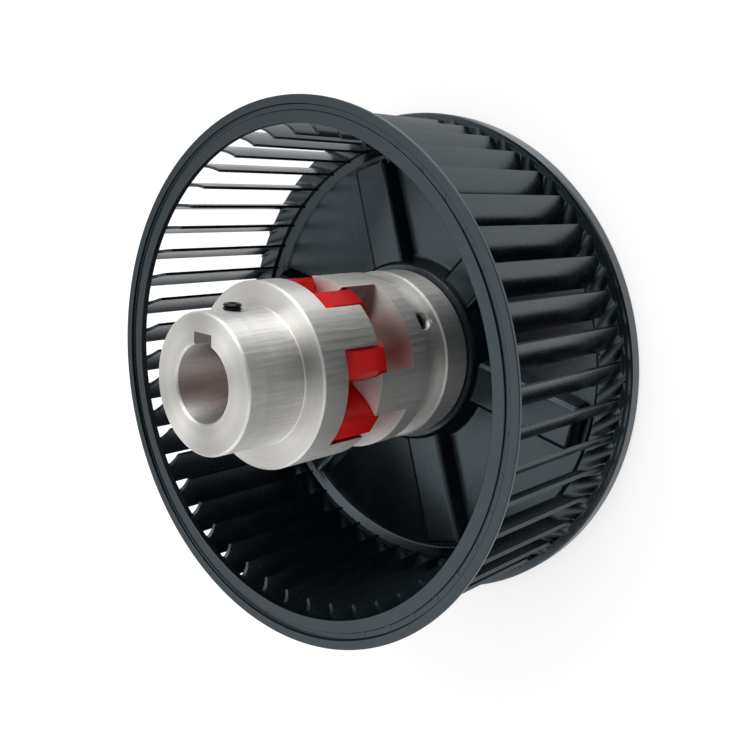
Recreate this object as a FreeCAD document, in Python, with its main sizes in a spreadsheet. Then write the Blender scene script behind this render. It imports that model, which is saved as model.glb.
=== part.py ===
"""Blower wheel with a curved-jaw shaft coupling: a moulded fan wheel on a turned hub, a star and a second hub.

Millimetres and degrees. +Z is the shaft axis, from the closed back of the wheel to the coupling. The origin is on the
axis at the back face of the wheel. Angles are read clockwise from +Y towards +X, as seen from the coupling's end.
"""
import FreeCAD, Part
import math
import os

import Sketcher
from FreeCAD import Placement, Rotation, Vector

SIZES = {
    # Fan wheel: front ring
    "wheel_radius": 87.5,
    "wheel_width": 69.5,
    "front_lip": 3.5,
    "front_ring_depth": 5.25,
    "front_ring_thickness": 3.0,
    "front_edge_thickness": 1.2,
    "front_groove_inset": 1.3,
    "front_groove_width": 1.9,
    "front_groove_depth": 1.3,
    "front_groove_wall": 0.7,
    "front_face_step": 0.6,
    # Fan wheel: back plate, rim and rear ring
    "plate_thickness": 2.1,
    "rear_ring_inset": 1.15,
    "rear_ring_height": 5.2,
    "rim_height": 8.6,
    "rim_width": 5.0,
    "rim_shoulder": 7.2,
    "rim_slope_width": 4.6,
    # Fan wheel: boss and ribs
    "boss_radius": 32.0,
    "boss_foot": 34.2,
    "boss_height": 9.95,
    "rib_count": 6,
    "rib_angle": -12.0,
    "rib_width": 19.3,
    "rib_height": 7.8,
    "rib_wall": 2.0,
    "rib_draft": 17.0,
    "rib_start": 28.0,
    "rib_core_start": 38.0,
    "rib_end_gap": 2.2,
    # Fan wheel: blades
    "blade_count": 47,
    "blade_angle": 5.2,
    "blade_depth": 8.0,
    "blade_lean": 5.6,
    "blade_curve": 20.0,
    "blade_thickness": 1.1,
    "blade_foot": 3.0,
    "blade_corner_radius": 4.7,
    "blade_corner_bite": 0.6,
    "blade_corner_drop": 1.8,
    "gap_side": 0.3,
    "gap_outer_height": 6.1,
    "gap_inner_height": 3.9,
    # Coupling: what both hubs and the star share
    "coupling_radius": 29.7,
    "coupling_angle": 59.7,
    "jaw_count": 4,
    "jaw_length": 15.5,
    "jaw_inner": 17.7,
    "arm_belly": 20.0,
    "arm_half_width": 5.95,
    "arm_flank": 25.5,
    "arm_clearance": 0.3,
    "arm_root": 16.6,
    "star_inset": 0.5,
    "star_ring_outer": 17.3,
    "star_ring_inner": 12.6,
    "star_thickness": 19.0,
    "star_bevel_length": 5.5,
    "star_bevel_width": 1.8,
    "star_edge": 1.2,
    "star_lift": 11.6,
    "star_gap": 0.3,
    "bore_radius": 12.0,
    "key_width": 8.0,
    "key_depth": 3.3,
    "edge_break": 0.6,
    # Coupling: front hub
    "front_flange": 10.2,
    "front_hub_radius": 21.7,
    "front_hub_length": 21.9,
    "front_key_angle": 6.4,
    "front_screw_height": 21.0,
    "front_screw_stand": 1.8,
    # Coupling: rear hub
    "rear_flange": 8.0,
    "rear_neck_radius": 26.25,
    "rear_neck_length": 9.7,
    "rear_collar_length": 11.8,
    "rear_tail_radius": 26.0,
    "rear_tail_length": 10.0,
    "rear_tail_gap": 0.05,
    "rear_key_angle": 60.0,
    "rear_screw_height": 25.7,
    "rear_screw_sink": 1.2,
    # Set screws
    "screw_radius": 2.95,
    "screw_length": 8.0,
    "screw_clearance": 0.05,
    "screw_chamfer": 0.5,
    "socket_across_flats": 3.0,
    "socket_depth": 3.5,
}


class Size:
    """A number together with the sheet expression that it comes from, so that both follow the same sum."""

    def __init__(self, value, text):
        self.value = value
        self.text = text

    @staticmethod
    def of(other):
        return other if isinstance(other, Size) else Size(float(other), repr(float(other)))

    def __add__(self, other):
        other = Size.of(other)
        return Size(self.value + other.value, f"({self.text} + {other.text})")

    def __sub__(self, other):
        other = Size.of(other)
        return Size(self.value - other.value, f"({self.text} - {other.text})")

    def __mul__(self, other):
        other = Size.of(other)
        return Size(self.value * other.value, f"({self.text} * {other.text})")

    def __truediv__(self, other):
        other = Size.of(other)
        return Size(self.value / other.value, f"({self.text} / {other.text})")

    def __rtruediv__(self, other):
        return Size.of(other) / self

    def __rmul__(self, other):
        return Size.of(other) * self

    def __neg__(self):
        return Size(-self.value, f"(0 - {self.text})")


ZERO = Size.of(0)


def sine(angle):
    return Size(math.sin(math.radians(angle.value)), f"sin({angle.text} * 1 deg)")


def cosine(angle):
    return Size(math.cos(math.radians(angle.value)), f"cos({angle.text} * 1 deg)")


def polar(radius, angle):
    """Point at a radius and at an angle read clockwise from +Y."""
    return radius * sine(angle), radius * cosine(angle)


def make_sheet(doc):
    sheet = doc.addObject("Spreadsheet::Sheet", "sizes")
    for row, (name, value) in enumerate(SIZES.items(), start=1):
        sheet.set(f"A{row}", name)
        sheet.set(f"B{row}", str(value))
        sheet.setAlias(f"B{row}", name)
    doc.recompute()
    return {name: Size(float(value), f"sizes.{name}") for name, value in SIZES.items()}


DOC = FreeCAD.newDocument("blower_wheel")
S = make_sheet(DOC)
BLADE_OUTER = S["wheel_radius"] - S["front_lip"]
BLADE_INNER = BLADE_OUTER - S["blade_depth"]
RING_INNER = BLADE_OUTER - S["front_ring_depth"]
RIM_INNER = BLADE_OUTER - S["rim_width"]
RIM_FOOT = RIM_INNER - S["rim_slope_width"]
STAR_RADIUS = S["coupling_radius"] - S["star_inset"]


def bind(feature, **values):
    """Ties each named property to the sheet."""
    for name, size in values.items():
        feature.setExpression(name, Size.of(size).text)


def origin_part(body, role):
    return next(item for item in body.Origin.OriginFeatures if item.Role == role)


def new_body(name):
    body = DOC.addObject("PartDesign::Body", name)
    body.Label = name
    return body


def new_sketch(body, name, plane="XY_Plane", height=ZERO, turn=ZERO):
    """Sketch on one of the body's own planes, lifted along the plane's normal and turned clockwise in it."""
    sketch = body.newObject("Sketcher::SketchObject", name)
    sketch.AttachmentSupport = [(origin_part(body, plane), "")]
    sketch.MapMode = "FlatFace"
    sketch.AttachmentOffset = Placement(Vector(0, 0, height.value), Rotation(Vector(0, 0, 1), -turn.value))
    sketch.setExpression("AttachmentOffset.Base.z", height.text)
    return sketch


def hold_point(sketch, geometry, which, point):
    """Holds one end or centre of a piece of geometry at a place that follows the sheet."""
    for kind, size in (("DistanceX", point[0]), ("DistanceY", point[1])):
        index = sketch.addConstraint(Sketcher.Constraint(kind, -1, 1, geometry, which, size.value))
        sketch.setExpression(f"Constraints[{index}]", size.text)


def hold_radius(sketch, geometry, radius):
    index = sketch.addConstraint(Sketcher.Constraint("Radius", geometry, radius.value))
    sketch.setExpression(f"Constraints[{index}]", radius.text)


def draw_outline(sketch, points):
    """Closed outline of straight edges whose corners follow the sheet."""
    places = [Vector(x.value, y.value, 0) for x, y in points]
    count = len(places)
    first = sketch.GeometryCount
    for i in range(count):
        sketch.addGeometry(Part.LineSegment(places[i], places[(i + 1) % count]))
    for i in range(count):
        sketch.addConstraint(Sketcher.Constraint("Coincident", first + i, 2, first + (i + 1) % count, 1))
        hold_point(sketch, first + i, 1, points[i])
    return first


def revolve(body, name, points, kind="PartDesign::Revolution", plane="XZ_Plane", height=ZERO):
    """Turns an outline of (distance off the axis, place along it) corners about the sketch's upright axis."""
    sketch = new_sketch(body, name + "_outline", plane, height)
    draw_outline(sketch, points)
    return turn_outline(body, name, sketch, kind)


def turn_outline(body, name, sketch, kind="PartDesign::Revolution"):
    feature = body.newObject(kind, name)
    feature.Profile = sketch
    feature.ReferenceAxis = (sketch, ["V_Axis"])
    feature.Angle = 360
    DOC.recompute()
    return feature


def extrude(body, name, sketch, length, kind="PartDesign::Pad", reverse=False, draft=None):
    feature = body.newObject(kind, name)
    feature.Profile = sketch
    bind(feature, Length=length)
    feature.Reversed = reverse
    if draft is not None:
        bind(feature, TaperAngle=draft)
    DOC.recompute()
    return feature


def pattern(body, name, features, count):
    """Repeats features evenly about the shaft axis."""
    feature = body.newObject("PartDesign::PolarPattern", name)
    feature.Originals = features
    feature.Axis = (origin_part(body, "Z_Axis"), [""])
    feature.Angle = 360
    bind(feature, Occurrences=count)
    body.Tip = feature
    DOC.recompute()
    return feature


def place_body(body, height, turn):
    """Lifts a finished body along the shaft axis and turns it clockwise."""
    body.Placement = Placement(Vector(0, 0, height.value), Rotation(Vector(0, 0, 1), -turn.value))
    body.setExpression("Placement.Base.z", height.text)
    body.setExpression("Placement.Rotation.Angle", (-turn).text)


def circle_meets_ring(centre, radius, ring, far_side):
    """Angle, clockwise from +Y, at which a circle crosses a ring about the origin."""
    distance = math.hypot(centre[0], centre[1])
    towards = math.atan2(centre[0], centre[1])
    swing = math.acos((distance ** 2 + ring ** 2 - radius ** 2) / (2 * distance * ring))
    return math.degrees(towards + (swing if far_side else -swing))


def flank_centre(arm_angle, side):
    """Centre of the round flank on one side of a star arm: side +1 is clockwise of the arm."""
    out_x, out_y = polar(S["arm_belly"], arm_angle)
    across_x, across_y = polar(S["arm_half_width"] - S["arm_flank"], arm_angle + 90)
    if side < 0:
        across_x, across_y = -across_x, -across_y
    return out_x + across_x, out_y + across_y


def arc(centre, radius, start, end):
    """Arc about a centre from one clockwise angle to a larger one, drawn the anticlockwise way."""
    circle = Part.Circle(Vector(centre[0], centre[1], 0), Vector(0, 0, 1), radius)
    return Part.ArcOfCircle(circle, math.radians(90 - end), math.radians(90 - start))


def direction(centre, point):
    """Clockwise angle from +Y of a point seen from a centre."""
    return math.degrees(math.atan2(point[0] - centre[0], point[1] - centre[1]))


def ring_point(ring, angle):
    return ring * math.sin(math.radians(angle)), ring * math.cos(math.radians(angle))


def draw_sector(sketch, inner, outer, flanks):
    """Outline between two rings about the axis and two flank circles, given anticlockwise side first.

    Each flank is (centre, radius, bulges), where bulges says whether the outline is inside the flank's circle.
    """
    corners = []
    for (centre, radius, bulges), clockwise in zip(flanks, (False, True)):
        place = (centre[0].value, centre[1].value)
        far_side = clockwise if bulges else not clockwise
        corners.append([
            circle_meets_ring(place, radius.value, ring.value, far_side) for ring in (inner, outer)])
    (left_in, left_out), (right_in, right_out) = corners
    origin = (0.0, 0.0)
    inner_arc = sketch.addGeometry(arc(origin, inner.value, left_in, right_in))
    outer_arc = sketch.addGeometry(arc(origin, outer.value, left_out, right_out))
    flank_arcs = []
    for (centre, radius, bulges), (near, far) in zip(flanks, corners):
        place = (centre[0].value, centre[1].value)
        a = direction(place, ring_point(inner.value, near))
        b = direction(place, ring_point(outer.value, far))
        sweep = (b - a + 180) % 360 - 180
        start, end = (a, a + sweep) if sweep > 0 else (a + sweep, a)
        flank_arcs.append((sketch.addGeometry(arc(place, radius.value, start, end)), sweep > 0))
    for ring_arc, size in ((inner_arc, inner), (outer_arc, outer)):
        sketch.addConstraint(Sketcher.Constraint("Coincident", ring_arc, 3, -1, 1))
        hold_radius(sketch, ring_arc, size)
    # An arc is drawn anticlockwise, so its end point is at its smaller clockwise angle.
    for (flank_arc, clockwise), (centre, radius, _), ring_end in zip(flank_arcs, flanks, (2, 1)):
        inner_end, outer_end = (2, 1) if clockwise else (1, 2)
        sketch.addConstraint(Sketcher.Constraint("Coincident", flank_arc, inner_end, inner_arc, ring_end))
        sketch.addConstraint(Sketcher.Constraint("Coincident", flank_arc, outer_end, outer_arc, ring_end))
        hold_point(sketch, flank_arc, 3, centre)
        hold_radius(sketch, flank_arc, radius)


def add_ring_and_plate(body):
    """Back plate with boss, raised rim and rear ring, turned as one outline."""
    bore = S["rear_tail_radius"] + S["rear_tail_gap"]
    rear_ring = S["wheel_radius"] - S["rear_ring_inset"]
    revolve(body, "back_plate", [
        (bore, ZERO),
        (rear_ring, ZERO),
        (rear_ring, S["rear_ring_height"]),
        (BLADE_OUTER, S["rear_ring_height"]),
        (BLADE_OUTER, S["rim_height"]),
        (RIM_INNER, S["rim_shoulder"]),
        (RIM_FOOT, S["plate_thickness"]),
        (S["boss_foot"], S["plate_thickness"]),
        (S["boss_radius"], S["boss_height"]),
        (bore, S["boss_height"]),
    ])


def add_ribs(body):
    """Broad hollow ribs that stand up from the plate between the boss and the rim."""
    half = S["rib_width"] / 2
    rib_end = RIM_FOOT - S["rib_end_gap"]
    outline = new_sketch(body, "rib_outline", turn=S["rib_angle"])
    outline.setExpression("AttachmentOffset.Rotation.Angle", (-S["rib_angle"]).text)
    draw_outline(outline, [
        (-half, S["rib_start"]), (half, S["rib_start"]), (half, rib_end), (-half, rib_end)])
    rib = extrude(body, "rib", outline, S["rib_height"], draft=-S["rib_draft"])
    hollow = half - S["rib_wall"]
    core_end = rib_end - S["rib_wall"]
    core_outline = new_sketch(body, "rib_core_outline", turn=S["rib_angle"])
    core_outline.setExpression("AttachmentOffset.Rotation.Angle", (-S["rib_angle"]).text)
    draw_outline(core_outline, [
        (-hollow, S["rib_core_start"]), (hollow, S["rib_core_start"]), (hollow, core_end), (-hollow, core_end)])
    depth = S["rib_height"] - S["rib_wall"]
    core = extrude(body, "rib_core", core_outline, depth, "PartDesign::Pocket", True, -S["rib_draft"])
    pattern(body, "ribs", [rib, core], S["rib_count"])


def blade_ends():
    """Outer and inner end of the outward face of the first blade."""
    outer = polar(BLADE_OUTER, S["blade_angle"])
    inner = polar(BLADE_INNER, S["blade_angle"] + S["blade_lean"])
    return outer, inner


def gap_half_widths():
    """Half of the clear space between two blades at their outer and inner edges, and a little of the blades."""
    outer, inner = ((point[0].value, point[1].value) for point in blade_ends())
    chord = math.dist(outer, inner)
    heading = direction(inner, outer)
    bend = math.degrees(math.asin(chord / 2 / S["blade_curve"].value))
    halves = []
    for point, turn in ((outer, -bend), (inner, bend)):
        slant = heading + turn - direction((0.0, 0.0), point)
        pitch = 2 * math.pi * math.hypot(*point) / S["blade_count"].value
        clear = pitch * math.cos(math.radians(slant)) - S["blade_thickness"].value
        halves.append(clear / 2 + S["gap_side"].value)
    return halves


def gap_section(body, name, place, heading, floor, half):
    """Upright section through a channel: flat floor, two slanting sides and two upright ones."""
    sketch = body.newObject("Sketcher::SketchObject", name)
    sketch.AttachmentSupport = [(origin_part(body, "XY_Plane"), "")]
    sketch.MapMode = "FlatFace"
    along = Vector(math.sin(math.radians(heading)), math.cos(math.radians(heading)), 0)
    up = Vector(0, 0, 1)
    across = up.cross(along)
    sketch.AttachmentOffset = Placement(Vector(place[0], place[1], 0), Rotation(across, up, along, "ZXY"))
    flat = half * math.tan(math.radians(22.5))
    top = S["rim_height"].value + 1
    points = [
        (-flat, floor), (flat, floor), (half, floor + half - flat),
        (half, top), (-half, top), (-half, floor + half - flat)]
    draw_outline(sketch, [(Size.of(x), Size.of(y)) for x, y in points])
    return sketch


def add_gap_rounds(body):
    """Hollow-bottomed channels through the rim, one between each two blades, wider at the inside."""
    half_step = 180.0 / S["blade_count"].value
    outer = ring_point(BLADE_OUTER.value, S["blade_angle"].value + half_step)
    inner = ring_point(BLADE_INNER.value, S["blade_angle"].value + S["blade_lean"].value + half_step)
    outer_half, inner_half = gap_half_widths()
    heading = direction(inner, outer)
    # The channel runs on past both edges of the blade by a share of its own length.
    run = 0.35
    sections = []
    for name, share in (("gap_inner_section", -run), ("gap_outer_section", 1 + run)):
        place = [a + (b - a) * share for a, b in zip(inner, outer)]
        floor = S["gap_inner_height"].value * (1 - share) + S["gap_outer_height"].value * share
        half = inner_half * (1 - share) + outer_half * share
        sections.append(gap_section(body, name, place, heading, floor, half))
    DOC.recompute()
    channel = body.newObject("PartDesign::SubtractiveLoft", "gap_round")
    channel.Profile = sections[0]
    channel.Sections = [sections[1]]
    channel.Ruled = True
    DOC.recompute()
    pattern(body, "gap_rounds", [channel], S["blade_count"])


def add_blades(body):
    """Thin forward-curved blades: an arc of constant thickness that leans anticlockwise from its inner edge."""
    outer, inner = blade_ends()
    curve = S["blade_curve"]
    thin = curve - S["blade_thickness"]
    ends = [(point[0].value, point[1].value) for point in (inner, outer)]
    middle = ((ends[0][0] + ends[1][0]) / 2, (ends[0][1] + ends[1][1]) / 2)
    chord = (ends[1][0] - ends[0][0], ends[1][1] - ends[0][1])
    length = math.hypot(*chord)
    depth = math.sqrt(curve.value ** 2 - (length / 2) ** 2)
    # The centre lies on the anticlockwise, inward side of the chord, so the blade bulges outwards.
    centre = (middle[0] - chord[1] / length * depth, middle[1] + chord[0] / length * depth)
    start = direction(centre, ends[1])
    end = direction(centre, ends[0])
    sketch = new_sketch(body, "blade_outline", height=S["blade_foot"])
    back = sketch.addGeometry(arc(centre, curve.value, start, end))
    face = sketch.addGeometry(arc(centre, thin.value, start, end))
    sides = []
    for angle in (start, end):
        near = ring_point(thin.value, angle)
        far = ring_point(curve.value, angle)
        sides.append(sketch.addGeometry(Part.LineSegment(
            Vector(centre[0] + far[0], centre[1] + far[1], 0),
            Vector(centre[0] + near[0], centre[1] + near[1], 0))))
    sketch.addConstraint(Sketcher.Constraint("Coincident", back, 3, face, 3))
    for side, arc_end in zip(sides, (2, 1)):
        sketch.addConstraint(Sketcher.Constraint("Coincident", side, 1, back, arc_end))
        sketch.addConstraint(Sketcher.Constraint("Coincident", side, 2, face, arc_end))
        sketch.addConstraint(Sketcher.Constraint("PointOnObject", back, 3, side))
    hold_point(sketch, back, 2, outer)
    hold_point(sketch, back, 1, inner)
    hold_radius(sketch, back, curve)
    hold_radius(sketch, face, thin)
    height = S["wheel_width"] - S["front_ring_thickness"] / 2 - S["blade_foot"]
    blade = extrude(body, "blade", sketch, height)
    pattern(body, "blades", [blade], S["blade_count"])


def add_blade_corners(body):
    """Hollow corner in two flats that comes off the inner front corner of every blade."""
    radius = S["blade_corner_radius"]
    centre = (RING_INNER + S["blade_corner_bite"] - radius, S["wheel_width"] - S["blade_corner_drop"])
    top = S["wheel_width"] + 1
    steps = [Size.of(angle) for angle in (0, 50, 90)]
    revolve(body, "blade_corners", [
        *((centre[0] + radius * sine(angle), centre[1] - radius * cosine(angle)) for angle in steps),
        (centre[0] + radius, top),
        (centre[0], top),
    ], "PartDesign::Groove")


def add_front_ring(body):
    """Flat front ring with a thin outer edge, a turned groove and a lower inner band."""
    top = S["wheel_width"]
    low = top - S["front_ring_thickness"]
    groove_in = BLADE_OUTER - S["front_groove_inset"]
    groove_out = groove_in + S["front_groove_width"]
    band = groove_out + S["front_groove_wall"]
    revolve(body, "front_ring", [
        (RING_INNER, low),
        (band, low),
        (band, top - S["front_edge_thickness"]),
        (S["wheel_radius"], top - S["front_edge_thickness"]),
        (S["wheel_radius"], top),
        (groove_out, top),
        (groove_out, top - S["front_groove_depth"]),
        (groove_in, top - S["front_groove_depth"]),
        (groove_in, top - S["front_face_step"]),
        (RING_INNER, top - S["front_face_step"]),
    ])


def build_fan_wheel():
    body = new_body("fan_wheel")
    add_ring_and_plate(body)
    add_gap_rounds(body)
    add_ribs(body)
    add_blades(body)
    add_blade_corners(body)
    add_front_ring(body)


def add_jaws(body, gullet, angle, upwards):
    """Four jaws that stand on a flange, with hollow sides that follow the star's arms."""
    pitch = 360 / (S["jaw_count"] * 2)
    reach = S["arm_flank"] + S["arm_clearance"]
    sketch = new_sketch(body, "jaw_outline", height=gullet)
    draw_sector(sketch, S["jaw_inner"], S["coupling_radius"], [
        (flank_centre(angle - pitch / 2, 1), reach, False),
        (flank_centre(angle + pitch / 2, -1), reach, False),
    ])
    jaw = extrude(body, "jaw", sketch, S["jaw_length"], reverse=not upwards)
    pattern(body, "jaws", [jaw], S["jaw_count"])
    ease = S["edge_break"]
    tip = gullet + S["jaw_length"] if upwards else gullet - S["jaw_length"]
    past = ease if upwards else -ease
    revolve(body, "jaw_tip_edges", [
        (S["coupling_radius"] - ease * 2, tip + past),
        (S["coupling_radius"] + ease, tip + past),
        (S["coupling_radius"] + ease, tip - past * 2),
    ], "PartDesign::Groove")


def add_keyway(body, low, length):
    half = S["key_width"] / 2
    sketch = new_sketch(body, "keyway_outline", height=low)
    draw_outline(sketch, [
        (-half, ZERO),
        (half, ZERO),
        (half, S["bore_radius"] + S["key_depth"]),
        (-half, S["bore_radius"] + S["key_depth"]),
    ])
    extrude(body, "keyway", sketch, length, "PartDesign::Pocket", True)


def add_screw_hole(body, height, surface):
    """Plain radial hole over the keyway."""
    radius = S["screw_radius"] + S["screw_clearance"]
    revolve(body, "screw_hole", [
        (ZERO, S["bore_radius"]),
        (radius, S["bore_radius"]),
        (radius, surface + 1),
        (ZERO, surface + 1),
    ], "PartDesign::Groove", "XY_Plane", height)


def build_rear_half():
    """Hub that the wheel is moulded round: tail, collar, neck, flange and four jaws."""
    body = new_body("rear_coupling_half")
    collar_top = S["rear_tail_length"] + S["rear_collar_length"]
    neck_top = collar_top + S["rear_neck_length"]
    gullet = neck_top + S["rear_flange"]
    ease = S["edge_break"]
    radius = S["coupling_radius"]
    revolve(body, "hub", [
        (S["bore_radius"], ZERO),
        (S["rear_tail_radius"], ZERO),
        (S["rear_tail_radius"], S["rear_tail_length"]),
        (radius, S["rear_tail_length"]),
        (radius, collar_top - ease),
        (radius - ease, collar_top),
        (S["rear_neck_radius"], collar_top),
        (S["rear_neck_radius"], neck_top),
        (radius - ease, neck_top),
        (radius, neck_top + ease),
        (radius, gullet),
        (S["bore_radius"], gullet),
    ])
    add_jaws(body, gullet, S["coupling_angle"] + 180 / S["jaw_count"] - S["rear_key_angle"], True)
    add_keyway(body, ZERO, gullet)
    add_screw_hole(body, S["rear_screw_height"], S["rear_neck_radius"])
    place_body(body, ZERO, S["rear_key_angle"])
    return gullet


def build_front_half(height):
    """Loose hub: flange with four jaws towards the wheel and a long narrower hub the other way."""
    body = new_body("front_coupling_half")
    top = S["front_flange"] + S["front_hub_length"]
    ease = S["edge_break"]
    radius = S["coupling_radius"]
    hub = S["front_hub_radius"]
    revolve(body, "hub", [
        (S["bore_radius"], ZERO),
        (radius, ZERO),
        (radius, S["front_flange"] - ease),
        (radius - ease, S["front_flange"]),
        (hub, S["front_flange"]),
        (hub, top - ease),
        (hub - ease, top),
        (S["bore_radius"] + ease, top),
        (S["bore_radius"], top - ease),
    ])
    add_jaws(body, ZERO, S["coupling_angle"] - S["front_key_angle"], False)
    add_keyway(body, ZERO, top)
    add_screw_hole(body, S["front_screw_height"], hub)
    place_body(body, height, S["front_key_angle"])


def build_star(height):
    """Eight-armed elastic star with convex arm sides, a middle hole and a long bevel at its front end."""
    body = new_body("coupling_star")
    ring = new_sketch(body, "ring_outline")
    for radius in (S["star_ring_outer"], S["star_ring_inner"]):
        number = ring.addGeometry(Part.Circle(Vector(0, 0, 0), Vector(0, 0, 1), radius.value))
        ring.addConstraint(Sketcher.Constraint("Coincident", number, 3, -1, 1))
        hold_radius(ring, number, radius)
    extrude(body, "ring", ring, S["star_thickness"])
    pitch = 360 / (S["jaw_count"] * 2)
    arm_angle = S["coupling_angle"] - pitch / 2
    sketch = new_sketch(body, "arm_outline")
    draw_sector(sketch, S["arm_root"], STAR_RADIUS, [
        (flank_centre(arm_angle, -1), S["arm_flank"], True),
        (flank_centre(arm_angle, 1), S["arm_flank"], True),
    ])
    arm = extrude(body, "arm", sketch, S["star_thickness"])
    arms = pattern(body, "arms", [arm], S["jaw_count"] * 2)
    corners = []
    for number, edge in enumerate(arms.Shape.Edges, start=1):
        ends = [vertex.Point for vertex in edge.Vertexes]
        if len(ends) == 2 and abs(abs(ends[0].z - ends[1].z) - S["star_thickness"].value) < 0.01:
            if all(abs(math.hypot(end.x, end.y) - STAR_RADIUS.value) < 0.01 for end in ends):
                corners.append(f"Edge{number}")
    soft = body.newObject("PartDesign::Chamfer", "arm_corners")
    soft.Base = (arms, corners)
    bind(soft, Size=S["star_edge"])
    DOC.recompute()
    radius = STAR_RADIUS
    top = S["star_thickness"]
    slope = S["star_bevel_width"] / S["star_bevel_length"]
    revolve(body, "front_bevel", [
        (radius - S["star_bevel_width"] - slope, top + 1),
        (radius + slope, top + 1),
        (radius + slope, top - S["star_bevel_length"] - 1),
    ], "PartDesign::Groove")
    place_body(body, height, ZERO)


def build_set_screw(name, height, tip, angle):
    """Headless screw that lies along a radius, with a flat tip and a hexagon socket at its chamfered outer end."""
    body = new_body(name)
    ease = S["screw_chamfer"]
    radius = S["screw_radius"]
    outer_end = tip + S["screw_length"]
    revolve(body, "shank", [
        (ZERO, tip),
        (radius, tip),
        (radius, outer_end - ease),
        (radius - ease, outer_end),
        (ZERO, outer_end),
    ], plane="XY_Plane")
    socket = new_sketch(body, "socket_outline", "XZ_Plane", -outer_end)
    reach = S["socket_across_flats"] / 2 / cosine(Size.of(30))
    draw_outline(socket, [
        (reach * cosine(Size.of(60 * i)), reach * sine(Size.of(60 * i))) for i in range(6)])
    extrude(body, "socket", socket, S["socket_depth"], "PartDesign::Pocket", True)
    place_body(body, height, angle)


def main():
    build_fan_wheel()
    rear_gullet = build_rear_half()
    star_height = rear_gullet + S["star_lift"]
    front_gullet = star_height + S["star_thickness"] + S["star_gap"]
    build_star(star_height)
    build_front_half(front_gullet)
    rear_tip = S["rear_neck_radius"] - S["rear_screw_sink"] - S["screw_length"]
    front_tip = S["front_hub_radius"] + S["front_screw_stand"] - S["screw_length"]
    build_set_screw("rear_set_screw", S["rear_screw_height"], rear_tip, S["rear_key_angle"])
    build_set_screw(
        "front_set_screw", front_gullet + S["front_screw_height"], front_tip, S["front_key_angle"])
    DOC.recompute()
    os.makedirs("parts", exist_ok=True)
    for item in DOC.Objects:
        if any(word in item.State for word in ("Invalid", "Error")):
            raise RuntimeError(f"{item.Name} did not rebuild: {item.State}")
    for body in DOC.Objects:
        if body.TypeId != "PartDesign::Body":
            continue
        shape = body.Shape
        if shape.isNull() or not shape.isValid() or len(shape.Solids) != 1:
            raise RuntimeError(f"{body.Label} is not one valid solid")
        shape.exportStep(f"parts/{body.Label}.step")
        box = shape.BoundBox
        print(
            f"{body.Label}: {shape.Volume:.0f} mm3, {len(shape.Faces)} faces, "
            f"x {box.XMin:.2f} {box.XMax:.2f}, y {box.YMin:.2f} {box.YMax:.2f}, z {box.ZMin:.2f} {box.ZMax:.2f}")


main()
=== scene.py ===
"""Blower wheel with a jaw shaft coupling, dressed for rendering.

The wheel, both coupling halves, the star and the set screws are modelled round the shaft axis, in metres, in
the frame of the solid model: +Z runs along the shaft from the closed back of the wheel to the coupling.
"""

import math

import bpy
from bpy.props import FloatProperty, FloatVectorProperty, IntProperty, PointerProperty
from bpy.types import Operator, Panel, PropertyGroup
from mathutils import Matrix, Vector


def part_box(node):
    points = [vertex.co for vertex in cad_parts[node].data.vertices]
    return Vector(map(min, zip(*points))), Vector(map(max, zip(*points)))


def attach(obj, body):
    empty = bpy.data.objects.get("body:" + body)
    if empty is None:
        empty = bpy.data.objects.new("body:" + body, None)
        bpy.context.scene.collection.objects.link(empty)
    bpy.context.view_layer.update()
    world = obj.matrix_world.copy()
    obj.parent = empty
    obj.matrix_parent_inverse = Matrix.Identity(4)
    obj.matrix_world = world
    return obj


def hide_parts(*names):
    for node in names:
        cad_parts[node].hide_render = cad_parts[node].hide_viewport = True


bl_info = {
    "name": "Blower Wheel and Coupling",
    "version": (1, 0, 0),
    "blender": (4, 5, 0),
    "location": "View3D > Sidebar > Blower Wheel",
    "description": "Models a moulded blower wheel and its jaw shaft coupling",
    "category": "Add Mesh",
}

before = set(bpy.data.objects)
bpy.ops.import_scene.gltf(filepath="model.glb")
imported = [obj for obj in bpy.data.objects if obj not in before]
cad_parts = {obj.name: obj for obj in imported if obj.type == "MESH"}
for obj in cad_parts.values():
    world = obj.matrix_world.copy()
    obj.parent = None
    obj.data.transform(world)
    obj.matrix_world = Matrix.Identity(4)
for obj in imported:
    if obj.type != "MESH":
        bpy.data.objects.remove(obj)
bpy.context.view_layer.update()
WHEEL_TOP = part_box("fan_wheel")[1]
FRONT_HUB_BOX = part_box("front_coupling_half")
REAR_HUB_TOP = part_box("rear_coupling_half")[1].z
STAR_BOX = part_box("coupling_star")

# Steps round a turned hub, and round the wheel, where each of the 47 blades has eight of them.
HUB_STEPS = 288
WHEEL_STEPS = 8 * 47

# Sides of the round tools that hollow the jaws and shape the star's arms, and of small round holes.
FLANK_SIDES = 256
HOLE_SIDES = 64

# How far a cutting tool runs out past what it cuts.
OVERRUN = 0.001

# Soft panels round the room: the way towards each one, and its strength.
PANELS = (
    ((0.25, 0.93, 0.28), 1.50),
    ((-0.25, 0.93, 0.28), 0.50),
    ((-0.14, 0.60, 0.79), 1.25),
    ((-0.55, 0.27, 0.79), 0.35),
    ((-0.55, -0.27, 0.79), 0.92),
    ((0.38, -0.48, 0.79), 0.95),
    ((-0.25, -0.93, 0.28), 0.93),
    ((0.25, -0.93, 0.28), 0.30),
)


# Settings


def length(name, default, description):
    return FloatProperty(
        name=name, description=description, default=default, min=0.0, unit="LENGTH", precision=5)


def angle(name, degrees, description):
    return FloatProperty(name=name, description=description, default=math.radians(degrees), subtype="ANGLE")


def colour(name, default, description):
    return FloatVectorProperty(
        name=name, description=description, default=default, size=3, min=0.0, max=1.0, subtype="COLOR")


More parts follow.
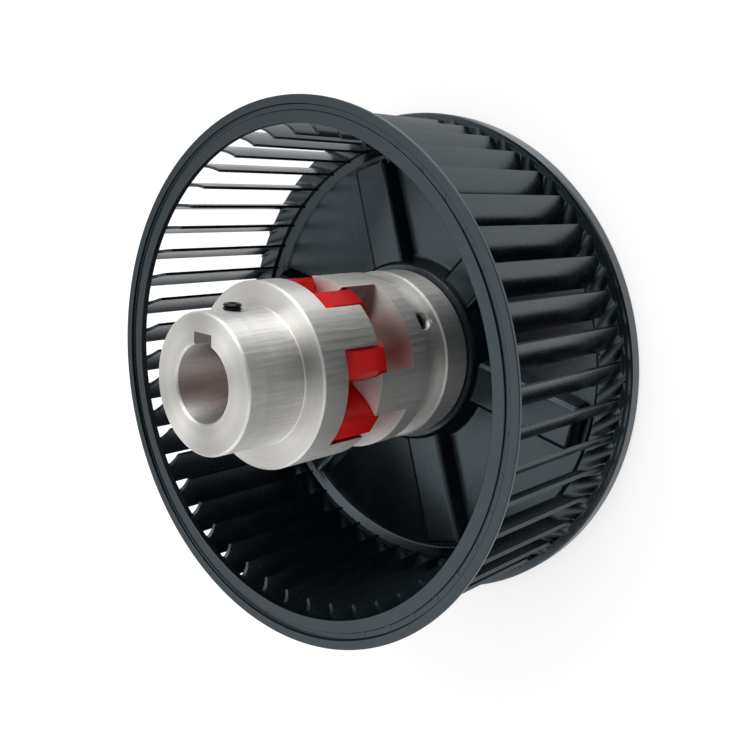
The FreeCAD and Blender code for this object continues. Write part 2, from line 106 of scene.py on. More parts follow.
class WheelSizes(PropertyGroup):
    radius: length("Wheel radius", WHEEL_TOP.x, "Outer radius of the front ring")
    width: length("Wheel width", WHEEL_TOP.z, "From the back face to the front ring's face")
    ring_inner: length("Ring inner radius", 0.07875, "Inner radius of the front ring")
    ring_drop: length("Ring drop", 0.0006, "How far the front ring lies below its face inside the groove")
    ring_foot: length("Ring foot radius", 0.0853, "Radius out to which the front ring is deep")
    ring_thickness: length("Ring thickness", 0.003, "Depth of the front ring over the blades")
    edge_thickness: length("Edge thickness", 0.0012, "Thickness of the front ring's outer edge")
    groove_inner: length("Groove inner radius", 0.0827, "Inner radius of the groove in the front ring")
    groove_outer: length("Groove outer radius", 0.0846, "Outer radius of the groove in the front ring")
    groove_depth: length("Groove depth", 0.0013, "Depth of the groove in the front ring")
    plate_thickness: length("Plate thickness", 0.0021, "Thickness of the back plate")
    rear_ring_radius: length("Rear ring radius", 0.08635, "Outer radius of the rear ring")
    rear_ring_height: length("Rear ring height", 0.0052, "Height of the rear ring")
    step_radius: length("Step radius", 0.0847, "Radius of the small step on the rear ring")
    step_height: length("Step height", 0.001, "Height of the small step on the rear ring")
    rim_height: length("Rim height", 0.0079, "Height of the rim at the blade tips")
    rim_inner: length("Rim inner radius", 0.0762, "Radius at which the rim's top ends")
    slope_top: length("Slope top", 0.0048, "Height at which the slope inside the rim ends")
    slope_foot: length("Slope foot radius", 0.0738, "Radius at which the slope inside the rim starts")
    gap_inner: length("Gap inner radius", 0.0041, "Radius of a gap's round end at the blades' inner edges")
    gap_outer: length("Gap outer radius", 0.00275, "Radius of a gap's round end at the blade tips")
    gap_inner_height: length("Gap inner height", 0.0067, "Lowest point of a gap at the blades' inner edges")
    gap_outer_height: length("Gap outer height", 0.0061, "Lowest point of a gap at the blade tips")
    blade_count: IntProperty(name="Blades", description="Number of blades round the wheel", default=47, min=3)
    blade_angle: angle("Blade angle", 5.2, "Place of the first blade's tip, clockwise from the top")
    blade_lean: angle("Blade lean", 5.6, "How far the inner edge of a blade trails its tip")
    blade_outer: length("Blade tip radius", 0.084, "Radius of the blade tips")
    blade_inner: length("Blade inner radius", 0.076, "Radius of the blades' inner edges")
    blade_curve: length("Blade curve", 0.020, "Radius of the blade's curved back")
    blade_thickness: length("Blade thickness", 0.0011, "Thickness of a blade")
    blade_foot: length("Blade foot", 0.004, "Height at which the blades start, inside the rim")
    blade_top: length("Blade top", 0.0012, "How far below the front ring's face the blades end")
    corner_radius: length("Corner radius", 0.0047, "Radius of the hollow corner of a blade's inner end")
    corner_place: length("Corner place", 0.0745, "Distance from the axis to the hollow corner's centre")
    corner_drop: length("Corner drop", 0.0018, "Depth of the hollow corner's centre under the ring's face")
    rib_count: IntProperty(name="Ribs", description="Number of ribs on the back plate", default=6, min=1)
    rib_angle: angle("Rib angle", -12.0, "Place of the first rib, clockwise from the top")
    rib_width: length("Rib width", 0.0145, "Width of a rib along its top")
    rib_height: length("Rib height", 0.0078, "Height of a rib above the back face")
    rib_start: length("Rib start", 0.029, "Radius at which a rib starts, inside the boss")
    rib_end: length("Rib end", 0.0708, "Radius at which a rib ends")
    rib_draft: angle("Rib draft", 17.0, "Slope of a rib's sides")
    rib_round: length("Rib rounding", 0.0017, "Rounding along a rib's edges")
    rib_wall: length("Rib wall", 0.002, "Thickness of a rib's top over its hollow")
    hollow_width: length("Hollow width", 0.0118, "Width of a rib's hollow at its deepest")
    hollow_start: length("Hollow start", 0.0398, "Radius at which a rib's hollow starts")
    hollow_end: length("Hollow end", 0.0675, "Radius at which a rib's hollow ends")
    boss_radius: length("Boss radius", 0.032, "Radius of the boss at its top")
    boss_height: length("Boss height", 0.00995, "Height of the boss")
    boss_bore: length("Boss bore", 0.02605, "Radius of the hole that holds the rear coupling half")


class CouplingSizes(PropertyGroup):
    radius: length("Coupling radius", 0.0297, "Outer radius of both flanges")
    jaw_angle: angle("Jaw angle", 59.7, "Place of the front half's first jaw, clockwise from the top")
    jaw_inner: length("Jaw inner radius", 0.0177, "Radius of the jaws' inner faces")
    jaw_length: length("Jaw length", 0.0155, "How far the jaws stand out of the flange")
    jaw_root: length("Jaw root", 0.002, "How deep the jaws reach into the flange")
    arm_belly: length("Arm belly radius", 0.020, "Radius at which a star arm is widest")
    arm_half_width: length("Arm half width", 0.00595, "Half the greatest width of a star arm")
    arm_flank: length("Arm flank radius", 0.0255, "Radius of the rounded side of a star arm")
    arm_clearance: length("Arm clearance", 0.0003, "Play between a star arm and a jaw")
    star_radius: length("Star radius", 0.0292, "Radius out to which the star's arms reach")
    star_hub: length("Star hub radius", 0.0173, "Outer radius of the star's middle ring")
    star_hole: length("Star hole radius", 0.0126, "Radius of the star's hole")
    bore: length("Bore radius", 0.012, "Radius of the shaft bores")
    key_width: length("Key width", 0.008, "Width of the keyways")
    key_depth: length("Key depth", 0.0033, "Depth of the keyways outside the bore")
    chamfer: length("Chamfer", 0.0006, "Width of the turned chamfers")
    hub_radius: length("Front hub radius", 0.0217, "Radius of the front half's long hub")
    front_flange: length("Front flange", 0.0102, "Thickness of the front half's flange")
    front_key_angle: angle("Front key angle", 6.4, "Place of the front keyway, clockwise from the top")
    rear_key_angle: angle("Rear key angle", 60.0, "Place of the rear keyway, clockwise from the top")
    tail_radius: length("Tail radius", 0.026, "Radius of the rear half's tail in the boss")
    tail_length: length("Tail length", 0.010, "Length of the rear half's tail")
    neck_radius: length("Neck radius", 0.02625, "Radius of the rear half's neck")
    neck_length: length("Neck length", 0.0097, "Length of the rear half's neck")
    rear_flange: length("Rear flange", 0.008, "Thickness of the rear half's flange")
    screw_radius: length("Set screw radius", 0.003, "Radius of the set screws")
    screw_length: length("Set screw length", 0.008, "Length of the set screws")
    mouth_width: length("Mouth width", 0.0014, "How far a screw hole's cone is wider than the hole")
    front_screw_height: length("Front screw height", 0.021, "Distance from the foot of the jaws to the screw")
    front_screw_proud: length("Front screw proud", 0.0018, "How far the front screw stands out of the hub")
    rear_screw_height: length("Rear screw height", 0.0257, "Distance from the back face to the rear screw")
    rear_screw_sunk: length("Rear screw sunk", 0.0012, "How far the rear screw is sunk in the neck")


class Finishes(PropertyGroup):
    nylon: colour("Black nylon", (0.0024, 0.0050, 0.0074), "Colour of the moulded wheel")
    aluminium: colour("Aluminium", (0.83, 0.82, 0.795), "Colour of the turned hubs")
    elastomer: colour("Red elastomer", (0.97, 0.010, 0.012), "Colour of the star")
    steel: colour("Blackened steel", (0.022, 0.022, 0.024), "Colour of the set screws")
    floor: colour("Floor", (0.62, 0.62, 0.62), "Colour of the floor")


class StudioSettings(PropertyGroup):
    lens: FloatProperty(name="Lens", description="Focal length in millimetres", default=44.21, min=1.0)
    key_power: FloatProperty(name="Key light", description="Power of the lamp above", default=1.6, min=0.0)
    room_light: FloatProperty(
        name="Room light", description="Strength of the soft panels round the room", default=1.3, min=0.0)
    floor_glow: FloatProperty(
        name="Floor glow", description="Light that whitens the floor in view", default=0.62, min=0.0)


# Modelling helpers


def start_afresh():
    if bpy.context.object is not None and bpy.context.object.mode != "OBJECT":
        bpy.ops.object.mode_set(mode="OBJECT")
    bpy.ops.object.select_all(action="DESELECT")


def only(obj):
    start_afresh()
    obj.select_set(True)
    bpy.context.view_layer.objects.active = obj


def around(radius, clockwise):
    """Point at a radius and at an angle read clockwise from +Y."""
    return Vector((radius * math.sin(clockwise), radius * math.cos(clockwise), 0.0))


def turn(name, outline, steps=HUB_STEPS):
    """Closed ring: a circle drawn out through each (radius, height) corner and back to the first."""
    start_afresh()
    radius, height = outline[0]
    bpy.ops.mesh.primitive_circle_add(
        vertices=steps, radius=radius, fill_type="NOTHING", location=(0, 0, height))
    obj = bpy.context.object
    obj.name = name
    bpy.ops.object.transform_apply(location=True, rotation=True, scale=True)
    bpy.ops.object.mode_set(mode="EDIT")
    bpy.ops.mesh.select_all(action="SELECT")
    corners = list(outline) + [outline[0]]
    for (r0, z0), (r1, z1) in zip(corners, corners[1:]):
        bpy.ops.mesh.extrude_edges_move()
        bpy.ops.transform.resize(value=(r1 / r0, r1 / r0, 1.0))
        bpy.ops.transform.translate(value=(0, 0, z1 - z0))
    bpy.ops.mesh.select_all(action="SELECT")
    bpy.ops.mesh.remove_doubles(threshold=2e-6)
    bpy.ops.mesh.normals_make_consistent(inside=False)
    bpy.ops.object.mode_set(mode="OBJECT")
    return obj


def rod(name, radius, low, high, place=(0.0, 0.0), sides=HOLE_SIDES, end_radius=None):
    """Upright round bar or taper between two heights."""
    start_afresh()
    end = radius if end_radius is None else end_radius
    bpy.ops.mesh.primitive_cone_add(
        vertices=sides, radius1=radius, radius2=end, depth=high - low,
        location=(place[0], place[1], (low + high) / 2))
    obj = bpy.context.object
    obj.name = name
    bpy.ops.object.transform_apply(location=True, rotation=True, scale=True)
    return obj


def block(name, low, high):
    start_afresh()
    middle = [(a + b) / 2 for a, b in zip(low, high)]
    bpy.ops.mesh.primitive_cube_add(size=1.0, location=middle)
    obj = bpy.context.object
    obj.name = name
    obj.scale = [b - a for a, b in zip(low, high)]
    bpy.ops.object.transform_apply(location=True, rotation=True, scale=True)
    return obj


def tapered_block(name, low, high, spread):
    """Upright block whose foot is spread out by a length on each side."""
    obj = block(name, low, high)
    bpy.ops.object.mode_set(mode="EDIT")
    bpy.ops.mesh.select_all(action="DESELECT")
    bpy.ops.object.mode_set(mode="OBJECT")
    for vertex in obj.data.vertices:
        vertex.select = vertex.co.z < (low[2] + high[2]) / 2
    bpy.ops.object.mode_set(mode="EDIT")
    wide, deep = [1 + 2 * more / (b - a) for a, b, more in zip(low, high, spread)]
    bpy.ops.transform.resize(value=(wide, deep, 1.0))
    bpy.ops.object.mode_set(mode="OBJECT")
    return obj


def set_turn(obj, clockwise, tip=0.0):
    """Tips an upright piece over towards +Y, then turns it clockwise about the shaft axis."""
    only(obj)
    turned = Matrix.Rotation(-clockwise, 4, "Z") @ Matrix.Rotation(-tip, 4, "X")
    obj.matrix_world = turned
    bpy.ops.object.transform_apply(location=True, rotation=True, scale=True)
    return obj


def lay_across(obj, height, clockwise):
    """Lays an upright piece along +Y at a height, then turns it clockwise about the shaft axis."""
    set_turn(obj, 0.0, math.pi / 2)
    obj.location = (0, 0, height)
    bpy.ops.object.transform_apply(location=True, rotation=True, scale=True)
    return set_turn(obj, clockwise)


def combine(obj, tool, how):
    """Adds, cuts or keeps the overlap with a second piece, which is used up."""
    only(obj)
    step = obj.modifiers.new("shape", "BOOLEAN")
    step.operation = how
    step.solver = "EXACT"
    step.object = tool
    bpy.ops.object.modifier_apply(modifier=step.name)
    bpy.data.objects.remove(tool, do_unlink=True)
    return obj


def merge(name, parts):
    """Joins pieces into one object."""
    only(parts[0])
    for part in parts:
        part.select_set(True)
    if len(parts) > 1:
        bpy.ops.object.join()
    obj = bpy.context.object
    obj.name = name
    return obj


def copies(obj, count):
    """Evenly spaced copies about the shaft axis, each with its own mesh."""
    made = [obj]
    for i in range(1, count):
        only(obj)
        bpy.ops.object.duplicate(linked=False)
        twin = bpy.context.object
        set_turn(twin, 2 * math.pi * i / count)
        made.append(twin)
    return made


def split_rings(obj):
    """Splits ring-shaped faces into simple ones, so that they shade evenly."""
    only(obj)
    bpy.ops.object.mode_set(mode="EDIT")
    cuts, offset = 4, 0.37
    for cut in range(cuts):
        bpy.ops.mesh.select_all(action="SELECT")
        bpy.ops.mesh.bisect(plane_co=(0, 0, 0), plane_no=around(1.0, (cut + offset) * math.pi / cuts))
    bpy.ops.object.mode_set(mode="OBJECT")
    return obj


def soften(obj, width, segments=2, limit=32.0):
    """Rounds every edge sharper than the limit."""
    only(obj)
    bpy.ops.object.mode_set(mode="EDIT")
    bpy.ops.mesh.select_all(action="SELECT")
    bpy.ops.mesh.remove_doubles(threshold=1e-6)
    bpy.ops.mesh.dissolve_limited(angle_limit=math.radians(0.2), use_dissolve_boundaries=False)
    bpy.ops.object.mode_set(mode="OBJECT")
    step = obj.modifiers.new("soft_edges", "BEVEL")
    step.width = width
    step.segments = segments
    step.limit_method = "ANGLE"
    step.angle_limit = math.radians(limit)
    step.use_clamp_overlap = True
    bpy.ops.object.modifier_apply(modifier=step.name)
    return obj


def mark_edges(obj):
    """Face attribute that is 1 on the narrow faces of rounded and chamfered edges, which the aluminium
    whitens as a painted highlight.
    """
    width, upright, level = 0.0002, 0.12, 0.97
    mesh = obj.data
    edge = mesh.attributes.new("edge", "FLOAT", "FACE")
    for face in mesh.polygons:
        corners = [mesh.vertices[i].co for i in face.vertices]
        shortest = min((a - b).length for a, b in zip(corners, corners[1:] + corners[:1]))
        slanted = upright < abs(face.normal.z) < level
        edge.data[face.index].value = 1.0 if slanted or shortest < width and len(corners) < 6 else 0.0


def finish_piece(obj, name, material, body, nodes=(), smooth=35.0):
    only(obj)
    obj.name = name
    obj.data.name = name
    obj.data.materials.clear()
    obj.data.materials.append(material)
    bpy.ops.object.shade_smooth_by_angle(angle=math.radians(smooth))
    step = obj.modifiers.new("flat_faces", "WEIGHTED_NORMAL")
    step.keep_sharp = True
    bpy.ops.object.modifier_apply(modifier=step.name)
    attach(obj, body)
    if nodes:
        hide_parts(*nodes)
    return obj


# Materials


class Nodes:
    """Short way to place and link shader nodes."""

    def __init__(self, tree):
        self.tree = tree
        self.column = -1200

    def add(self, kind, inputs=None, **settings):
        node = self.tree.nodes.new(kind)
        node.location = (self.column, 0)
        self.column += 60
        for key, value in settings.items():
            setattr(node, key, value)
        for key, value in (inputs or {}).items():
            self.feed(node.inputs[key], value)
        return node

    def feed(self, socket, value):
        """Links what comes out of a node, and sets any other value."""
        if isinstance(value, bpy.types.NodeSocket):
            self.tree.links.new(value, socket)
        else:
            socket.default_value = value

    def math(self, operation, first, second=0.0, third=0.0):
        node = self.add("ShaderNodeMath", operation=operation)
        for socket, value in zip(node.inputs, (first, second, third)):
            self.feed(socket, value)
        return node.outputs[0]

    def ramp(self, value, low, high, to_low=0.0, to_high=1.0):
        node = self.add("ShaderNodeMapRange", {
            "Value": value, "From Min": low, "From Max": high, "To Min": to_low, "To Max": to_high})
        node.clamp = True
        return node.outputs["Result"]

    def mix(self, factor, first, second):
        node = self.add("ShaderNodeMix", data_type="RGBA")
        self.feed(node.inputs[0], factor)
        for socket, tone in ((node.inputs[6], first), (node.inputs[7], second)):
            self.feed(socket, tone if isinstance(tone, bpy.types.NodeSocket) else (*tone[:3], 1.0))
        return node.outputs[2]


def new_group(name, inputs, outputs):
    group = bpy.data.node_groups.new(name, "ShaderNodeTree")
    for label, kind, value in inputs:
        socket = group.interface.new_socket(label, in_out="INPUT", socket_type=kind)
        if value is not None:
            socket.default_value = value
    for label, kind in outputs:
        group.interface.new_socket(label, in_out="OUTPUT", socket_type=kind)
    start = group.nodes.new("NodeGroupInput")
    end = group.nodes.new("NodeGroupOutput")
    return group, Nodes(group), start, end


def surface_wear():
    """Broad and fine unevenness that any handled surface has, and a speckle of dust."""
    name = "surface_wear"
    if name in bpy.data.node_groups:
        return bpy.data.node_groups[name]
    group, n, start, end = new_group(
        name,
        [("Vector", "NodeSocketVector", None), ("Scale", "NodeSocketFloat", 60.0),
         ("Speckle", "NodeSocketFloat", 1800.0)],
        [("Cloud", "NodeSocketFloat"), ("Grain", "NodeSocketFloat"), ("Dust", "NodeSocketFloat")])
    cloud = n.add("ShaderNodeTexNoise", {
        "Vector": start.outputs["Vector"], "Scale": start.outputs["Scale"], "Detail": 4.0, "Roughness": 0.6})
    grain = n.add("ShaderNodeTexNoise", {
        "Vector": start.outputs["Vector"], "Scale": start.outputs["Speckle"],
        "Detail": 2.0, "Roughness": 0.6})
    dots = n.add("ShaderNodeTexVoronoi", {"Vector": start.outputs["Vector"], "Scale": 420.0})
    speck = n.ramp(dots.outputs["Distance"], 0.10, 0.03)
    dust = n.math("MULTIPLY", speck, n.ramp(cloud.outputs["Fac"], 0.52, 0.66))
    group.links.new(cloud.outputs["Fac"], end.inputs["Cloud"])
    group.links.new(grain.outputs["Fac"], end.inputs["Grain"])
    group.links.new(dust, end.inputs["Dust"])
    return group


def lathe_marks():
    """Fine rings that a lathe leaves, by radius on faces and by height on round sides, and streaks along the
    axis for its chatter, which the aluminium also uses as painted reflection stripes.
    """
    name = "lathe_marks"
    if name in bpy.data.node_groups:
        return bpy.data.node_groups[name]
    group, n, start, end = new_group(
        name,
        [("Vector", "NodeSocketVector", None), ("Pitch", "NodeSocketFloat", 0.00035)],
        [("Height", "NodeSocketFloat"), ("Band", "NodeSocketFloat"), ("Chatter_and_painted_reflection", "NodeSocketFloat")])
    axes = n.add("ShaderNodeSeparateXYZ", {"Vector": start.outputs["Vector"]})
    x, y, z = axes.outputs
    radius = n.math("SQRT", n.math("ADD", n.math("MULTIPLY", x, x), n.math("MULTIPLY", y, y)))
    turns = n.math("DIVIDE", n.math("ADD", radius, z), start.outputs["Pitch"])
    ring = n.math("SINE", n.math("MULTIPLY", turns, 2 * math.pi))
    spot = n.add("ShaderNodeCombineXYZ", {"X": turns})
    uneven = n.add("ShaderNodeTexNoise", {
        "Vector": spot.outputs[0], "Scale": 1.7, "Detail": 3.0, "Roughness": 0.7})
    broad = n.add("ShaderNodeTexNoise", {
        "Vector": spot.outputs[0], "Scale": 0.11, "Detail": 3.0, "Roughness": 0.65})
    height = n.math("ADD", n.math("MULTIPLY", ring, 0.22), uneven.outputs["Fac"])
    stretched = n.add("ShaderNodeCombineXYZ", {
        "X": n.math("DIVIDE", x, radius), "Y": n.math("DIVIDE", y, radius), "Z": n.math("MULTIPLY", z, 3.0)})
    chatter_and_painted_reflection = n.add("ShaderNodeTexNoise", {
        "Vector": stretched.outputs[0], "Scale": 22.0, "Detail": 1.5, "Roughness": 0.4})
    group.links.new(height, end.inputs["Height"])
    group.links.new(broad.outputs["Fac"], end.inputs["Band"])
    group.links.new(chatter_and_painted_reflection.outputs["Fac"], end.inputs["Chatter_and_painted_reflection"])
    return group


def new_material(name):
    material = bpy.data.materials.new(name)
    material.use_nodes = True
    material.node_tree.nodes.clear()
    n = Nodes(material.node_tree)
    out = n.add("ShaderNodeOutputMaterial")
    shader = n.add("ShaderNodeBsdfPrincipled")
    material.node_tree.links.new(shader.outputs[0], out.inputs["Surface"])
    coordinates = n.add("ShaderNodeTexCoord")
    return material, n, shader, coordinates.outputs["Object"]


def place_group(n, group, inputs):
    return n.add("ShaderNodeGroup", inputs, node_tree=group).outputs


def link_bump(n, shader, height, distance, strength=1.0, below=None):
    bump = n.add("ShaderNodeBump", {"Height": height, "Distance": distance, "Strength": strength})
    if below is not None:
        n.tree.links.new(below, bump.inputs["Normal"])
    n.tree.links.new(bump.outputs["Normal"], shader.inputs["Normal"])
    return bump.outputs["Normal"]


def scaled(rgb, factor):
    return tuple(min(1.0, c * factor) for c in rgb)


def moulded_nylon(look):
    """Glass-filled nylon, satin, with a faint blue cast and a little handling dust."""
    material, n, shader, place = new_material("moulded_nylon")
    wear = place_group(n, surface_wear(), {"Vector": place, "Scale": 45.0, "Speckle": 2200.0})
    tint = n.mix(n.ramp(wear["Cloud"], 0.35, 0.7), scaled(look.nylon, 0.8), scaled(look.nylon, 1.3))
    dusty = n.mix(n.math("MULTIPLY", wear["Dust"], 0.2), tint, (0.08, 0.09, 0.10))
    n.tree.links.new(dusty, shader.inputs["Base Color"])
    fine = n.ramp(wear["Grain"], 0.3, 0.7, -0.02, 0.03)
    rough = n.math("ADD", n.ramp(wear["Cloud"], 0.3, 0.7, 0.21, 0.30), fine)
    n.tree.links.new(rough, shader.inputs["Roughness"])
    shader.inputs["Specular IOR Level"].default_value = 0.9
    shader.inputs["Specular Tint"].default_value = (0.74, 0.90, 1.0, 1.0)
    link_bump(n, shader, wear["Grain"], 0.00004, 0.35)
    return material


def lathe_aluminium(look):
    """Bright turned aluminium: lathe rings, duller bands, chatter on round sides with painted reflection
    stripes in its colour, and painted highlights on the broken edges.
    """
    material, n, shader, place = new_material("lathe_aluminium")
    marks = place_group(n, lathe_marks(), {"Vector": place, "Pitch": 0.00055})
    band = n.ramp(marks["Band"], 0.35, 0.65)
    tint = n.mix(band, scaled(look.aluminium, 0.90), scaled(look.aluminium, 1.06))
    ringed = n.mix(n.ramp(marks["Height"], 0.25, 0.85, 0.0, 0.6), tint, scaled(look.aluminium, 0.80))
    normal = n.add("ShaderNodeNewGeometry").outputs["Normal"]
    facing = n.add("ShaderNodeSeparateXYZ", {"Vector": normal}).outputs["Z"]
    side = n.ramp(n.math("ABSOLUTE", facing), 0.2, 0.6, 1.0, 0.0)
    # Streaks along the axis on round sides: chatter in roughness and bump, and painted reflection stripes
    # that darken the colour.
    chatter_and_painted_reflection = n.math("MULTIPLY", side, n.ramp(marks["Chatter_and_painted_reflection"], 0.60, 0.40))
    painted_reflection_streaked = n.mix(n.math("MULTIPLY", chatter_and_painted_reflection, 0.4), ringed, scaled(look.aluminium, 0.66))
    # Painted highlight: the narrow faces of rounded and chamfered edges are whitened and made less metallic.
    edge = n.add("ShaderNodeAttribute", attribute_name="edge").outputs["Fac"]
    lit = n.mix(n.math("MULTIPLY", edge, 0.7), painted_reflection_streaked, (0.97, 0.965, 0.955))
    n.tree.links.new(lit, shader.inputs["Base Color"])
    n.tree.links.new(n.ramp(edge, 0.0, 1.0, 1.0, 0.75), shader.inputs["Metallic"])
    around_shaft = n.add("ShaderNodeVectorMath", {0: (0, 0, 1), 1: place}, operation="CROSS_PRODUCT")
    grooves = n.add("ShaderNodeVectorMath", {0: around_shaft.outputs[0]}, operation="NORMALIZE")
    n.tree.links.new(grooves.outputs[0], shader.inputs["Tangent"])
    shader.inputs["Anisotropic"].default_value = 1.0
    shader.inputs["Anisotropic Rotation"].default_value = 0.25
    rough = n.math("ADD", n.ramp(marks["Height"], 0.2, 0.9, 0.33, 0.40), n.math("MULTIPLY", chatter_and_painted_reflection, 0.04))
    n.tree.links.new(rough, shader.inputs["Roughness"])
    waves = link_bump(n, shader, n.math("MULTIPLY", marks["Chatter_and_painted_reflection"], side), 0.00008)
    link_bump(n, shader, marks["Height"], 0.00003, 0.4, waves)
    return material


def cast_elastomer(look):
    """Glossy cast polyurethane: saturated red, nearly smooth, with a thin clear skin."""
    material, n, shader, place = new_material("cast_elastomer")
    wear = place_group(n, surface_wear(), {"Vector": place, "Scale": 90.0, "Speckle": 1600.0})
    tint = n.mix(n.ramp(wear["Cloud"], 0.35, 0.7), scaled(look.elastomer, 0.88), scaled(look.elastomer, 1.12))
    n.tree.links.new(tint, shader.inputs["Base Color"])
    n.tree.links.new(n.ramp(wear["Cloud"], 0.3, 0.7, 0.26, 0.36), shader.inputs["Roughness"])
    shader.inputs["Specular IOR Level"].default_value = 0.35
    shader.inputs["Coat Weight"].default_value = 0.12
    shader.inputs["Coat Roughness"].default_value = 0.12
    link_bump(n, shader, wear["Grain"], 0.00003, 0.3)
    return material


def oxide_steel(look):
    """Black oxide steel: dark, slightly oily, with bare metal showing through on worn spots."""
    material, n, shader, place = new_material("oxide_steel")
    wear = place_group(n, surface_wear(), {"Vector": place, "Scale": 500.0, "Speckle": 5000.0})
    tint = n.mix(n.ramp(wear["Cloud"], 0.55, 0.75, 0.0, 0.5), look.steel, (0.12, 0.118, 0.115))
    n.tree.links.new(tint, shader.inputs["Base Color"])
    shader.inputs["Metallic"].default_value = 0.85
    n.tree.links.new(n.ramp(wear["Cloud"], 0.3, 0.7, 0.28, 0.42), shader.inputs["Roughness"])
    link_bump(n, shader, wear["Grain"], 0.00002, 0.4)
    return material


def pale_floor(look, settings):
    """Plain floor that is white in the picture, keeps shadows, and shows brighter in metal on one side."""
    material = bpy.data.materials.new("pale_floor")
    material.use_nodes = True
    material.node_tree.nodes.clear()
    n = Nodes(material.node_tree)
    out = n.add("ShaderNodeOutputMaterial")
    path = n.add("ShaderNodeLightPath")
    spot = n.add("ShaderNodeNewGeometry").outputs["Position"]
    bright_side = (-0.6, 0.8, 0.0)
    across = n.add("ShaderNodeVectorMath", {0: spot, 1: bright_side}, operation="DOT_PRODUCT")
    brightness = n.ramp(across.outputs["Value"], -0.1, 0.3, 0.5, 0.7)
    mirrored = n.math("MULTIPLY", path.outputs["Is Glossy Ray"], brightness)
    seen = n.math("MULTIPLY", path.outputs["Is Camera Ray"], settings.floor_glow)
    strength = n.math("MAXIMUM", seen, mirrored)
    paint = n.add("ShaderNodeBsdfDiffuse", {"Color": (*look.floor, 1.0)})
    glow = n.add("ShaderNodeEmission", {"Color": (1, 1, 1, 1), "Strength": strength})
    both = n.add("ShaderNodeAddShader", {0: paint.outputs[0], 1: glow.outputs[0]})
    n.tree.links.new(both.outputs[0], out.inputs["Surface"])
    return material


def soft_room(settings):
    """World that lights with soft panels, and is white where it is seen or shows through."""
    world = bpy.data.worlds.new("room")
    world.use_nodes = True
    world.node_tree.nodes.clear()
    n = Nodes(world.node_tree)
    out = n.add("ShaderNodeOutputWorld")
    path = n.add("ShaderNodeLightPath")
    way = n.add("ShaderNodeTexCoord").outputs["Generated"]
    light, tightness = 0.0, 10.0
    for towards, strength in PANELS:
        facing = n.add("ShaderNodeVectorMath", {0: way, 1: towards}, operation="DOT_PRODUCT")
        panel = n.math("POWER", n.math("MAXIMUM", facing.outputs["Value"], 0.0), tightness)
        light = n.math("MULTIPLY_ADD", panel, strength * settings.room_light, light)
    seen = n.math("MAXIMUM", path.outputs["Is Camera Ray"], path.outputs["Is Transmission Ray"])
    strength = n.math("MAXIMUM", seen, light)
    room = n.add("ShaderNodeBackground", {"Color": (1, 1, 1, 1), "Strength": strength})
    n.tree.links.new(room.outputs[0], out.inputs["Surface"])
    return world


def finish_of(maker):
    """The material that a function makes, made once."""
    return bpy.data.materials.get(maker.__name__) or maker(bpy.context.scene.blower_finishes)


# Shapes


def blade_centre(sizes):
    """Centre of the circle that the blade's back follows, and the blade's outer and inner edge."""
    tip = around(sizes.blade_outer, sizes.blade_angle)
    heel = around(sizes.blade_inner, sizes.blade_angle + sizes.blade_lean)
    chord = tip - heel
    depth = math.sqrt(sizes.blade_curve ** 2 - chord.length_squared / 4)
    across = Vector((-chord.y, chord.x, 0.0)).normalized()
    return (tip + heel) / 2 + across * depth, tip, heel


def swept_sheet(name, near, far, low, high, steps, sweep, centre=(0.0, 0.0, 0.0)):
    """Upright sheet between two points of the plan, spun about a centre into a solid."""
    start_afresh()
    bpy.ops.mesh.primitive_plane_add(size=1.0)
    obj = bpy.context.object
    obj.name = name
    corners = [Vector((p.x, p.y, z)) for z in (low, high) for p in (near, far)]
    for vertex, corner in zip(obj.data.vertices, corners):
        vertex.co = corner
    bpy.ops.object.mode_set(mode="EDIT")
    bpy.ops.mesh.select_all(action="SELECT")
    bpy.ops.mesh.spin(steps=steps, angle=sweep, center=centre, axis=(0, 0, 1))
    bpy.ops.mesh.select_all(action="SELECT")
    bpy.ops.mesh.remove_doubles(threshold=1e-7)
    bpy.ops.mesh.normals_make_consistent(inside=False)
    bpy.ops.object.mode_set(mode="OBJECT")
    return obj


def jaw(c, low, high):
    """One jaw: a wedge between two arms' centre lines, hollowed on both sides by the arms' flanks."""
    half = math.pi / 8
    obj = swept_sheet(
        "jaw", around(c.jaw_inner, -half), around(c.radius, -half), low, high,
        steps=HUB_STEPS // 8, sweep=2 * half)
    for side in (-1, 1):
        arm = side * half
        out = around(c.arm_belly, arm)
        aside = around(c.arm_half_width - c.arm_flank, arm + math.pi / 2) * -side
        tool = rod(
            "flank", c.arm_flank + c.arm_clearance, low - OVERRUN, high + OVERRUN,
            (out + aside)[:2], FLANK_SIDES)
        combine(obj, tool, "DIFFERENCE")
    return obj


def coupling_half(name, c, outline, gullet, upwards, jaw_place, key_place, screw_height, surface, key_span):
    """Turned hub with four jaws, a keyway and a countersunk screw hole over it."""
    hub = turn(name, outline)
    way = 1 if upwards else -1
    low, high = sorted((gullet - c.jaw_root * way, gullet + c.jaw_length * way))
    for one in copies(jaw(c, low, high), 4):
        combine(hub, one, "UNION")
    set_turn(hub, jaw_place)
    half_width, start, end = c.key_width / 2, *key_span
    slot = block("slot", (-half_width, 0.0, start), (half_width, c.bore + c.key_depth, end))
    set_turn(slot, key_place)
    combine(hub, slot, "DIFFERENCE")
    inside, outside = 0.003, 0.004
    hole = rod("hole", c.screw_radius, c.bore - inside, surface + outside)
    tip, depth, above = 0.0005, 0.0012, 0.0007
    mouth = rod(
        "mouth", c.screw_radius - tip, surface - depth, surface + above,
        end_radius=c.screw_radius + c.mouth_width)
    for tool in (hole, mouth):
        combine(hub, lay_across(tool, screw_height, key_place), "DIFFERENCE")
    soften(hub, width=0.00022)
    mark_edges(hub)
    return split_rings(hub)


